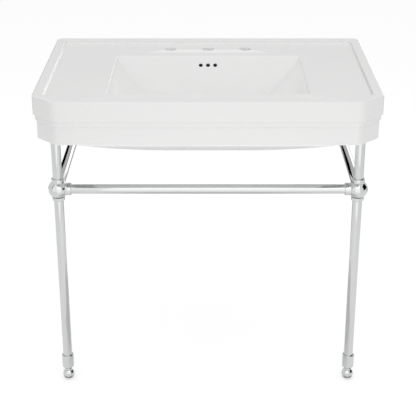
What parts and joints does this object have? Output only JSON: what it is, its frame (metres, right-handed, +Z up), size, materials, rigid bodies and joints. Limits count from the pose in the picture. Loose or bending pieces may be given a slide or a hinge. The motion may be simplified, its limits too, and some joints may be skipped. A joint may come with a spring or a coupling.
{
  "type": "console sink with legs",
  "caption": "Wall-held rectangular china console basin with a bordered deck, stepped skirt and cut front corners, on chromed tubular legs with ball joints, rails and levelling ball feet.",
  "frame": {"origin": "on the floor, below the middle of the basin's plan", "axes": "+X to the user's right, +Y towards the wall, +Z up"},
  "size_m": [0.838, 0.572, 0.874],
  "materials": {
    "vitreous_china": "white vitreous china, gloss glaze",
    "polished_chrome": "chrome-plated brass tube and turnings, mirror polish",
    "zinc_plated_steel": "zinc-plated set screws",
    "nylon": "moulded black nylon",
    "black_rubber": "soft rubber disc",
    "turned_brass": "turned brass, unplated"
  },
  "bodies": {
    "console": {"basin": "vitreous_china", "upper_leg_left": "polished_chrome", "lower_leg_left": "polished_chrome", "side_rail_left": "polished_chrome", "corner_joint_left": "polished_chrome", "upper_collar_left": "polished_chrome", "lower_collar_left": "polished_chrome", "front_collar_left": "polished_chrome", "side_collar_left": "polished_chrome", "wall_flange_left": "polished_chrome", "flange_screw_left": "zinc_plated_steel", "joint_screws_left": "zinc_plated_steel", "leg_plug_left": "nylon", "leg_pad_left": "black_rubber", "foot_ferrule_left": "polished_chrome", "foot_insert_left": "turned_brass", "upper_leg_right": "polished_chrome", "lower_leg_right": "polished_chrome", "side_rail_right": "polished_chrome", "corner_joint_right": "polished_chrome", "upper_collar_right": "polished_chrome", "lower_collar_right": "polished_chrome", "front_collar_right": "polished_chrome", "side_collar_right": "polished_chrome", "wall_flange_right": "polished_chrome", "flange_screw_right": "zinc_plated_steel", "joint_screws_right": "zinc_plated_steel", "leg_plug_right": "nylon", "leg_pad_right": "black_rubber", "foot_ferrule_right": "polished_chrome", "foot_insert_right": "turned_brass", "front_rail": "polished_chrome"},
    "foot_left": {"levelling_foot_left": "polished_chrome"},
    "foot_right": {"levelling_foot_right": "polished_chrome"}
  },
  "joints": [
    {"name": "foot_left_screw", "type": "slide", "parent": "console", "child": "foot_left", "axis": [0, 0, -1], "range_m": [0, 0.012]},
    {"name": "foot_right_screw", "type": "slide", "parent": "console", "child": "foot_right", "axis": [0, 0, -1], "range_m": [0, 0.012]}
  ]
}
